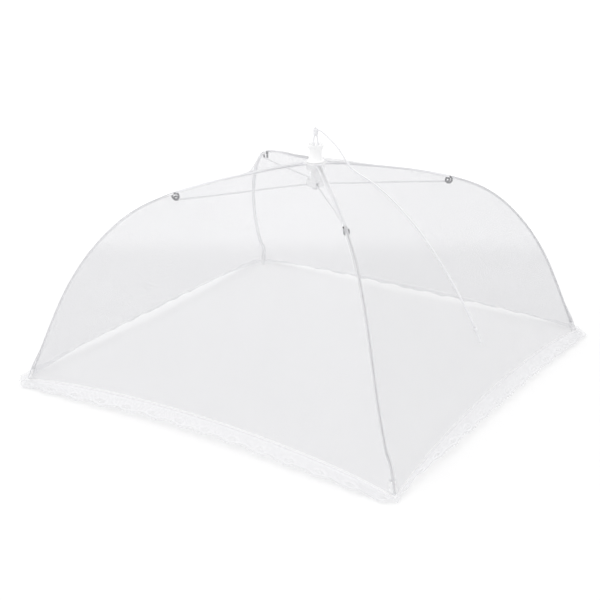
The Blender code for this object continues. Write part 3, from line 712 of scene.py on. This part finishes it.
def rib_tape_material():
    """Thin open tape, through which the rib's wire shows; it is denser above the joint and in patches."""
    colour = (0.94, 0.94, 0.965)
    tree = Tree("rib_tape", colour, 0.7, sheen=0.25)
    weave = woven(tree, colour, tape_pitch)
    along = tree.flat_pattern()[1]
    cover = tree.ranged(along, joint_along - 0.010, joint_along + 0.004, 0.40, 0.0)
    patchy = tree.ranged(tree.noise(9.0, 1.0), 0.42, 0.58, 0.0, 0.22)
    threads = tree.ranged(weave, 0.0, 1.0, 0.10, 0.40, smooth=False)
    tree.put("Alpha", tree.math("ADD", threads, tree.math("ADD", cover, patchy), clamp=True))
    return tree.mat


def lace_material():
    """Openwork lace: a fine slanting ground, faint oval eyelets, and a soft, gently waved edge."""
    # Its glow is a painted glow, which makes the lace look lighter
    tree = Tree("white_lace", (0.92, 0.92, 0.94), 0.75, sheen=0.2, glow=lace_painted_glow)
    along, out, flat_place = tree.flat_pattern()
    down = tree.math("DIVIDE", out, trim_width)
    fuzz = tree.noise(420.0, 2.0, flat_place)
    ragged = tree.math("MULTIPLY", tree.math("SUBTRACT", fuzz, 0.5), 0.20)

    wave = tree.math("PINGPONG", tree.math("DIVIDE", along, lace_motif), 0.5)
    edge = tree.ranged(wave, 0.0, 0.5, 0.84, 0.94)
    inside = tree.math("SUBTRACT", edge, tree.math("ADD", down, ragged))
    keep = tree.ranged(inside, -0.06, 0.26)
    border = tree.ranged(inside, 0.06, 0.32, 0.16, 0.0)

    beside = tree.math("MULTIPLY", tree.math("SUBTRACT", 0.5, wave), lace_motif / eyelet_half_length)
    below = tree.math("DIVIDE", tree.math("SUBTRACT", out, eyelet_place), eyelet_half_width)
    squares = tree.math("ADD", tree.math("POWER", beside, 2.0), tree.math("POWER", below, 2.0))
    distance = tree.math("ADD", tree.math("SQRT", squares), ragged)
    from_ring = tree.math("ABSOLUTE", tree.math("SUBTRACT", distance, 1.0))
    ring = tree.ranged(from_ring, 0.0, 0.60, 0.07, 0.0)
    hole = tree.ranged(distance, 0.30, 1.15, 0.68, 1.0)

    slants = (thread(tree, tree.math(kind, along, out), lace_pitch, lace_thread_share)
              for kind in ("ADD", "SUBTRACT"))
    weave = tree.math("MULTIPLY", tree.math("MAXIMUM", *slants), 0.30)
    ground = tree.math("ADD", weave, tree.math("ADD", tree.math("MULTIPLY", fuzz, 0.10), 0.37))
    head = tree.ranged(down, 0.05, 0.20, 0.12, 0.0)
    solid = tree.math("ADD", tree.math("MULTIPLY", ground, hole), tree.math("ADD", ring, border))
    solid = tree.math("ADD", solid, head, clamp=True)
    tree.put("Alpha", tree.math("MULTIPLY", solid, keep))
    tree.mottle(fuzz, (0.845, 0.845, 0.87), (0.885, 0.885, 0.905))
    tree.put("Roughness", tree.ranged(fuzz, 0.2, 0.8, 0.65, 0.85))
    tree.bump(weave, 0.00015, 0.35)
    return tree.mat


def steel_material(name, pale, coil_from=-0.002, coil_to=-0.001, outer_shade=0.0):
    """Drawn wire, whose coil, between two lengths along it, is painted near black as shade between its turns,
    and with a painted shade beyond the coil.
    """
    dark = (0.08, 0.08, 0.085)
    tree = Tree(name, pale, 0.34, metallic=1.0)
    wear = tree.noise(260.0, 4.0)
    fine = tree.noise(2600.0, 2.0)
    along = tree.flat_pattern()[1]
    middle, half = (coil_from + coil_to) / 2, (coil_to - coil_from) / 2
    beside = tree.math("ABSOLUTE", tree.math("SUBTRACT", along, middle))
    # The coil's near black is painted shade; outer_shade is painted shade on the wire beyond it, and worn is
    # real wear
    coil = tree.ranged(beside, half, half + 0.002, 1.0, 0.0)
    worn = tree.math("MULTIPLY", tree.ranged(wear, 0.35, 0.65), 0.06)
    shade = tree.math("ADD", worn, tree.ranged(along, coil_from, coil_to, 0.0, outer_shade))
    tree.put("Base Color", tree.mixed(tree.math("MAXIMUM", shade, coil), pale, dark))
    tree.put("Roughness", tree.ranged(tree.blend_of(wear, 0.6, fine, 0.4), 0.3, 0.7, 0.26, 0.46))
    tree.bump(fine, 0.00003, 0.4)
    return tree.mat


def plastic_material():
    """White moulded plastic with a faint cloud and a fine grain."""
    # Its glow is a painted glow, which makes the plastic look lighter where it is in shade
    tree = Tree("white_plastic", (0.955, 0.955, 0.955), 0.38, glow=plastic_painted_glow)
    cloud = tree.noise(180.0, 3.0)
    grain = tree.noise(2200.0, 2.0)
    tree.mottle(cloud, (0.94, 0.94, 0.94), (0.97, 0.97, 0.968))
    tree.put("Roughness", tree.ranged(tree.blend_of(cloud, 0.5, grain, 0.5), 0.3, 0.7, 0.30, 0.46))
    tree.bump(grain, 0.00003, 0.4)
    return tree.mat


def cord_material():
    """Twisted cord, with its yarns slanting round it and loose fibres on them."""
    # Its glow is a painted glow, which makes the cord look lighter
    tree = Tree("white_cord", (0.86, 0.86, 0.88), 0.8, sheen=0.3, glow=cord_painted_glow)
    across, along, _ = tree.flat_pattern()
    slant = tree.math("SUBTRACT", tree.math("DIVIDE", along, cord_yarn_along),
                      tree.math("DIVIDE", across, cord_yarn_across))
    yarn = tree.math("PINGPONG", slant, 0.5)
    fibre = tree.noise(3000.0, 2.0)
    tree.mottle(yarn, (0.87, 0.87, 0.89), (0.94, 0.94, 0.96), 0.0, 0.3)
    tree.put("Roughness", tree.ranged(fibre, 0.3, 0.7, 0.72, 0.88))
    tree.bump(tree.blend_of(yarn, 2.0, fibre, 0.3), 0.00008, 0.6)
    return tree.mat


joint_along = JOINT_LENGTH_SHARE * line_length(NET_EDGE_LINE)
net = net_material()
hem_tape = hem_tape_material("hem_tape", near_tape_painted_glow)
# The far panels' tape is a lighter copy, with more painted glow and an open weave, so that it looks brighter
# where it is seen through the net
far_hem_tape = hem_tape_material("far_hem_tape", far_tape_painted_glow, far_tape_solid)
rib_tape = rib_tape_material()
lace = lace_material()
loop_start = eye_turn * eye_radius + JOINT_LENGTH_SHARE * line_length(RIB_LINE)
loop_end = loop_start + 2 * math.pi * joint_loop_radius
# One steel for each rib, differing only in the painted shade below the joint
rib_steels = {rib: steel_material(f"steel_rib_{rib}", rib_pale, loop_start, loop_end, painted_shade)
              for rib, painted_shade in rib_painted_shade.items()}
strut_end = line_length(strut_wire_points("right"))
strut_steel = steel_material("steel_strut", strut_pale, strut_end - strut_coil_length, strut_end)
ring_steel = steel_material("steel_ring", ring_pale)
plastic = plastic_material()
cord = cord_material()


# Camera, set to the photograph's view


def place_camera():
    level = math.cos(camera_elevation)
    back = Vector((math.sin(camera_azimuth) * level, -math.cos(camera_azimuth) * level,
                   math.sin(camera_elevation)))
    data = bpy.data.cameras.new("camera")
    data.sensor_width = 36.0
    data.lens = camera_lens
    data.clip_start = 0.05
    camera = bpy.data.objects.new("camera", data)
    bpy.context.scene.collection.objects.link(camera)
    camera.location = camera_target + back * camera_distance
    camera.rotation_euler = (-back).to_track_quat("-Z", "Y").to_euler()
    bpy.context.scene.camera = camera


# Cord


def coiled_knot(name, centre, axis, radius, turns):
    """Turns of the cord pulled tight round an axis, tucked in at both ends."""
    axis = Vector(axis).normalized()
    across = axis.orthogonal().normalized()
    over = axis.cross(across)
    count = round(turns * knot_steps)
    line = []
    for i in range(count + 1):
        turn = 2 * math.pi * i / knot_steps
        rise = (i / count - 0.5) * turns * 2 * cord_radius * knot_packing
        tuck = 1 - knot_tuck * (1 - eased(min(i, count - i) / (knot_steps * knot_tuck_turns)))
        outwards = across * math.cos(turn) + over * math.sin(turn)
        line.append(Vector(centre) + outwards * radius * tuck + axis * rise)
    return tube_mesh(name, line, cord_radius, shape=laid)


def frayed(turn, gone):
    """The outline of the cord's loose end, which opens a little at its very end."""
    return laid(turn, gone) * (1 + fray_swell * eased((gone - fray_start) / fray_run))


def cord_piece(mesh, body, node):
    """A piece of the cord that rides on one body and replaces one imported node."""
    piece = add(mesh.name, mesh, cord, "cord")
    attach(piece, body)
    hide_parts(node)
    return piece


def make_cord():
    line = smooth_line(tail_route, cord_points)
    tail = cord_piece(tube_mesh("pull_cord_tail", line, cord_radius, shape=laid), "tail", "cord_tail")
    loose_line = smooth_line(loose_end_route, loose_end_points)
    mesh = tube_mesh("pull_cord_loose_end", loose_line, cord_radius, shape=frayed)
    loose = cord_piece(mesh, "tail", "cord_loose_end")
    way = Vector(loose_end_route[0]) - Vector(tail_route[-1])
    mesh = coiled_knot("pull_cord_end_knot", end_knot_place, way, end_knot_radius, end_knot_turns)
    end = cord_piece(mesh, "tail", "cord_end_knot")
    up = (0, 0, 1)
    mesh = coiled_knot("pull_cord_top_knot", (0, 0, top_knot_height), up, top_knot_radius, top_knot_turns)
    top = cord_piece(mesh, "crown", "cord_top_knot")
    mesh = coiled_knot("pull_cord_runner_knot", (0, 0, runner_knot_height), up, runner_knot_radius,
                       runner_knot_turns)
    cord_piece(mesh, "runner", "runner_knot")
    for name, sign in (("cord_strand_left", -1), ("cord_strand_right", 1)):
        route = [(sign * beside, 0.0, height) for beside, height in (
            (strand_half_gap, strand_low), (strand_half_gap, crown_height), (strand_half_gap, strand_foot),
            (strand_half_spread, strand_spread_height), (strand_top_half_gap, strand_top))]
        mesh = tube_mesh("pull_" + name, smooth_line(route, strand_points), cord_radius, shape=laid)
        strand = add(mesh.name, mesh, cord, "cord")
        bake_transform(strand)
        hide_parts(name)


# Wires


def make_wires():
    for rib in RIBS:
        for kind, points, steel in (("rib", rib_wire_points(rib), rib_steels[rib]),
                                    ("strut", strut_wire_points(rib), strut_steel)):
            name = f"wire_{kind}_{rib}"
            line = [to_row(rib, p) for p in points]
            wire = add(name, tube_mesh(name, line, wire_radius, wire_sides), steel, "steel_wire")
            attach(wire, f"{kind}_{rib}")
            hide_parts(f"{kind}_{rib}")


# Net, tapes and lace


edge_length = line_length(NET_EDGE_LINE)
seam_length = half_side


def half_net(rib, side):
    def place(across, along):
        return to_row(rib, bowed_net_point(rib, along, across, side))

    def uv(across, along):
        return (at_share(NET_EDGE_LINE, along).x * math.sqrt(0.5) * (1 - across), along * edge_length)
    return place, uv


def half_name(rib, side):
    return f"{rib}_to_{NEXT[rib] if side > 0 else LAST[rib]}"


def rise_at(half, across):
    """How far up the net the hem's upper edge lies; on the far panels it stays at the seam."""
    return 0.0 if half in far_panels else hem_rise * (1 - (1 - across) ** hem_rise_power)


def border_point(rib, distance, across, side, lift):
    """A point of the border: on the net, where its distance from the seam is below zero, or on the trim."""
    if distance < 0:
        return to_row(rib, net_point(1.0 + distance / edge_length, across, side) + Vector((0.0, 0.0, lift)))
    return to_row(rib, trim_point(min(distance / trim_length(across), 1.0), across, side, lift))


def half_hem(rib, side):
    half = half_name(rib, side)

    def place(across, down):
        pucker = hem_pucker * math.sin(across * seam_length * 2 * math.pi / hem_pucker_step)
        lift = hem_lift + pucker + hem_swell * math.sin(math.pi * down)
        return border_point(rib, hem_width * down - rise_at(half, across), across, side, lift)

    def uv(across, down):
        return (down * hem_width, across * seam_length)
    return place, uv


def lace_reach(half, across):
    """The share of the lace's width that lies open; the rest is gathered under."""
    table = lace_reaches.get(half, ((0.0, 1.0), (1.0, 1.0)))
    for (a, low), (b, high) in zip(table, table[1:]):
        if across <= b:
            return low + (high - low) * eased((across - a) / (b - a))
    return table[-1][1]


def half_lace(rib, side):
    half = half_name(rib, side)

    def place(across, down):
        start = hem_width - lace_under_hem - rise_at(half, across)
        wave = math.sin(2 * math.pi * lace_wave_count * across)
        second = math.sin(2 * math.pi * (lace_second_count * across + lace_second_start))
        second *= math.sin(math.pi * across)
        ruffle = lace_ruffle * (0.5 + 0.5 * wave + lace_second_height * second) * down ** lace_ruffle_power
        open_length = trim_length(across) * lace_reach(half, across)
        return border_point(rib, start + (open_length - start) * down, across, side, ruffle)

    def uv(across, down):
        return (across * seam_length, down * trim_width)
    return place, uv


def make_net():
    for rib in RIBS:
        for side in (1, -1):
            half = half_name(rib, side)
            start, end = (to_row(rib, (x, y * side, z)) for x, y, z in (net_turn_start, net_turn_end))
            for kind, form, faces, mat, slot in (
                    ("net", half_net, net_faces, net, "net"),
                    ("hem", half_hem, hem_faces, far_hem_tape if half in far_panels else hem_tape, "tape"),
                    ("lace", half_lace, lace_faces, lace, "lace")):
                mesh = grid_mesh(f"cloth_{kind}_{half}", faces, *form(rib, side))
                if side < 0:
                    mesh.flip_normals()
                piece = add(mesh.name, mesh, mat, slot)
                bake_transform(piece)
                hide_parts(f"{kind}_{half}")


def make_rib_tapes():
    for rib in RIBS:
        def place(across, along):
            sideways = (2 * across - 1) * tape_half_width
            side = 1 if sideways >= 0 else -1
            edge = at_share(NET_EDGE_LINE, along).x
            p = bowed_net_point(rib, along, abs(sideways) * 2 / edge, side)
            return to_row(rib, p + Vector((0.0, 0.0, tape_lift)))

        mesh = grid_mesh(f"rib_tape_{rib}", tape_faces, place, lambda across, along: (
            across * 2 * tape_half_width, along * edge_length))
        tape = add(mesh.name, mesh, rib_tape, "tape")
        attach(tape, f"rib_{rib}")
        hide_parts(f"binding_{rib}")
        count = round(edge_length / stitch_step) * 2
        line = []
        for i in range(count + 1):
            along = i / count * stitch_run_share + stitch_start_share
            sideways = tape_half_width * stitch_width_share * (1 if i % 2 else -1)
            edge = at_share(NET_EDGE_LINE, along).x
            p = bowed_net_point(rib, along, abs(sideways) * 2 / edge, 1 if sideways > 0 else -1)
            line.append(to_row(rib, p + Vector((0.0, 0.0, tape_lift + stitch_radius * stitch_seat_share))))
        mesh = tube_mesh(f"rib_stitches_{rib}", line, stitch_radius, stitch_sides)
        stitches = add(mesh.name, mesh, hem_tape, "tape")
        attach(stitches, f"rib_{rib}")


def to_end(along, start):
    """0 up to a share of the length, and then eased up to 1 at the end."""
    return eased((along - start) / (1 - start))


def make_pockets():
    """The sewn pocket over each rib's tip: a flat sleeve of tape."""
    for rib in RIBS:
        def place(around, along):
            p = at_share(RIB_LINE, 1 - (1 - along) * pocket_length / line_length(RIB_LINE))
            drop = (p.y - pocket_sole) * to_end(along, pocket_drop_start) * pocket_drop_share
            turn = 2 * math.pi * around
            wide = pocket_half_width + pocket_ripple * math.cos(2 * math.pi * along * pocket_ripple_count)
            wide *= 1 - pocket_narrow_share * to_end(along, pocket_narrow_start)
            thick = (cap_radius + pocket_wall) * (1 - pocket_flat_share * to_end(along, pocket_flat_start))
            out = p.x + pocket_shift + thick * math.cos(turn)
            return to_row(rib, (out, wide * math.sin(turn), p.y - drop))

        mesh = grid_mesh(f"tip_pocket_{rib}", pocket_faces, place, lambda around, along: (
            around * 4 * pocket_half_width, along * pocket_length))
        pocket = add(mesh.name, mesh, hem_tape, "tape")
        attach(pocket, f"rib_{rib}")


def make_patch():
    """The round patch of net and tape that the tube's foot clamps."""
    def place(across, around):
        turn = 2 * math.pi * around
        radius = patch_hole + (patch_radius + patch_brim - patch_hole) * across
        ripple = patch_ripple * math.cos(patch_ripple_count * turn) * across ** 2
        return Vector((radius * math.cos(turn), radius * math.sin(turn), patch_top - patch_drop + ripple))

    mesh = grid_mesh("crown_patch_cloth", patch_faces, place, lambda across, around: (
        across * patch_radius, around * patch_pattern_round))
    patch = add(mesh.name, mesh, hem_tape, "tape")
    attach(patch, "crown")
    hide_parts("crown_patch")


def dress_cad_nodes():
    for name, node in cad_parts.items():
        if node.hide_render:
            continue
        mat = ring_steel if "ring_wire" in name else plastic
        for place in node.material_slots:
            place.material = mat


# Floor and light


def light_path_share(nodes, links):
    """1 for rays that show the background: from the camera, in gloss and through clear things."""
    path = nodes.new("ShaderNodeLightPath")
    total = None
    for socket in ("Is Camera Ray", "Is Glossy Ray", "Is Transmission Ray"):
        if total is None:
            total = path.outputs[socket]
            continue
        node = nodes.new("ShaderNodeMath")
        node.operation = "MAXIMUM"
        links.new(total, node.inputs[0])
        links.new(path.outputs[socket], node.inputs[1])
        total = node.outputs[0]
    return total


def make_floor():
    mesh = bpy.data.meshes.new("floor")
    work = bmesh.new()
    bmesh.ops.create_grid(work, x_segments=1, y_segments=1, size=floor_half_size)
    work.to_mesh(mesh)
    work.free()
    mat = bpy.data.materials.new("pale_floor")
    mat.use_nodes = True
    nodes, links = mat.node_tree.nodes, mat.node_tree.links
    nodes.clear()
    diffuse = nodes.new("ShaderNodeBsdfDiffuse")
    diffuse.inputs["Color"].default_value = (floor_shade, floor_shade, floor_shade, 1.0)
    glow = nodes.new("ShaderNodeEmission")
    amount = nodes.new("ShaderNodeMath")
    amount.operation = "MULTIPLY"
    links.new(light_path_share(nodes, links), amount.inputs[0])
    place = nodes.new("ShaderNodeTexCoord")
    distance = nodes.new("ShaderNodeVectorMath")
    distance.operation = "DOT_PRODUCT"
    distance.inputs[1].default_value = floor_back
    links.new(place.outputs["Object"], distance.inputs[0])
    ramp = nodes.new("ShaderNodeMapRange")
    ramp.interpolation_type = "SMOOTHSTEP"
    for socket, number in zip(RANGE_SOCKETS, floor_glow_ramp):
        ramp.inputs[socket].default_value = number
    links.new(distance.outputs["Value"], ramp.inputs["Value"])
    links.new(ramp.outputs["Result"], amount.inputs[1])
    links.new(amount.outputs[0], glow.inputs["Strength"])
    both = nodes.new("ShaderNodeAddShader")
    links.new(diffuse.outputs[0], both.inputs[0])
    links.new(glow.outputs[0], both.inputs[1])
    out = nodes.new("ShaderNodeOutputMaterial")
    links.new(both.outputs[0], out.inputs["Surface"])
    floor = bpy.data.objects.new("floor", mesh)
    bpy.context.scene.collection.objects.link(floor)
    mesh.materials.append(mat)


def make_light():
    scene = bpy.context.scene
    scene.view_settings.view_transform = "Standard"
    world = bpy.data.worlds.new("studio")
    scene.world = world
    world.use_nodes = True
    nodes, links = world.node_tree.nodes, world.node_tree.links
    back = nodes["Background"]
    strength = nodes.new("ShaderNodeMapRange")
    strength.inputs["To Min"].default_value = world_light
    strength.inputs["To Max"].default_value = world_seen
    links.new(light_path_share(nodes, links), strength.inputs["Value"])
    back.inputs["Color"].default_value = (1.0, 1.0, 1.0, 1.0)
    links.new(strength.outputs["Result"], back.inputs["Strength"])
    data = bpy.data.lights.new("key", "SUN")
    data.energy = key_strength
    data.angle = key_spread
    lamp = bpy.data.objects.new("key", data)
    scene.collection.objects.link(lamp)
    lamp.rotation_euler = key_from.to_track_quat("Z", "Y").to_euler()


place_camera()
make_cord()
make_wires()
make_net()
make_rib_tapes()
make_pockets()
make_patch()
dress_cad_nodes()
make_floor()
make_light()
